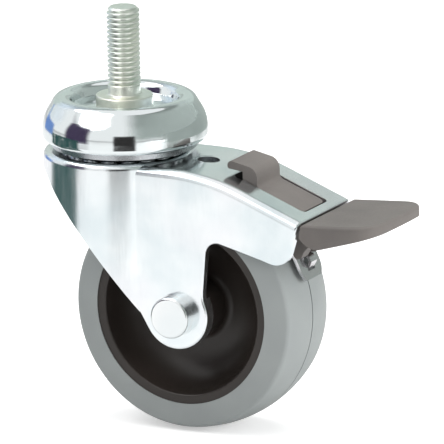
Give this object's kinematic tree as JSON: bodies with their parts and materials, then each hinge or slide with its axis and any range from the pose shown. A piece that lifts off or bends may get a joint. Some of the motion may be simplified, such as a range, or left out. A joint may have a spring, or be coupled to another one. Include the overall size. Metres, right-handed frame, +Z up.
{
  "type": "swivel castor",
  "caption": "Swivel castor with a threaded stem, pressed steel fork, polished bearing cover, soft-tyred wheel and a foot brake lever.",
  "frame": {"origin": "on the swivel axis, at the top face of the stem's flange, where the part it is screwed into rests", "axes": "+Z up the stem along the swivel axis, +X towards the trailing side with the brake pedal, -Y towards the axle bolt's head"},
  "size_m": [0.1187, 0.0527, 0.1269],
  "materials": {
    "zinc_stem": "bright zinc plated, rolled thread",
    "chrome_cover": "polished chrome plate",
    "race_steel": "pressed zinc plated steel",
    "ball_steel": "ground bearing steel",
    "zinc_fork": "bright blue-white zinc plate on pressed steel",
    "tyre_grey": "grey thermoplastic rubber, satin",
    "hub_black": "brown-black moulded polypropylene, satin",
    "bush_nylon": "dark nylon",
    "axle_zinc": "bright zinc plate",
    "insert_nylon": "translucent nylon",
    "spring_steel": "zinc plated spring steel strip",
    "lever_grey": "warm grey moulded nylon, fine matt texture"
  },
  "bodies": {
    "head": {"stem": "zinc_stem", "bearing_cover": "chrome_cover", "upper_race": "race_steel", "lower_cup": "race_steel"},
    "upper_ball_ring": {"upper_balls": "ball_steel"},
    "lower_ball_ring": {"lower_balls": "ball_steel"},
    "fork_assembly": {"fork": "zinc_fork", "axle_sleeve": "axle_zinc", "axle_bolt": "axle_zinc", "axle_washer_near": "axle_zinc", "axle_washer_far": "axle_zinc", "axle_nut": "axle_zinc", "nut_insert": "insert_nylon"},
    "wheel": {"tyre": "tyre_grey", "hub": "hub_black", "bush_left": "bush_nylon", "bush_right": "bush_nylon"},
    "brake_lever": {"brake_lever": "lever_grey"},
    "brake_spring": {"brake_spring": "spring_steel"}
  },
  "joints": [
    {"name": "swivel", "type": "hinge", "parent": "head", "child": "fork_assembly", "pos_m": [0, 0, 0], "axis": [0, 0, 1], "continuous": true},
    {"name": "upper_ball_orbit", "type": "hinge", "parent": "head", "child": "upper_ball_ring", "pos_m": [0, 0, -0.015], "axis": [0, 0, 1], "continuous": true},
    {"name": "lower_ball_orbit", "type": "hinge", "parent": "head", "child": "lower_ball_ring", "pos_m": [0, 0, -0.0205], "axis": [0, 0, 1], "continuous": true},
    {"name": "wheel_spin", "type": "hinge", "parent": "fork_assembly", "child": "wheel", "pos_m": [0.0253, 0, -0.0623], "axis": [0, 1, 0], "continuous": true},
    {"name": "brake_press", "type": "hinge", "parent": "fork_assembly", "child": "brake_lever", "pos_m": [0.0644, 0, -0.03393], "axis": [0, 1, 0], "range_deg": [0, 8]},
    {"name": "brake_spring_flex", "type": "hinge", "parent": "fork_assembly", "child": "brake_spring", "pos_m": [0.02, 0, -0.02137], "axis": [0, 1, 0], "range_deg": [0, 1.6]}
  ],
  "couplings": [
    {"joint": "upper_ball_orbit", "follows": "swivel", "ratio": 0.5},
    {"joint": "lower_ball_orbit", "follows": "swivel", "ratio": 0.5},
    {"joint": "brake_spring_flex", "follows": "brake_press", "ratio": 0.2}
  ]
}
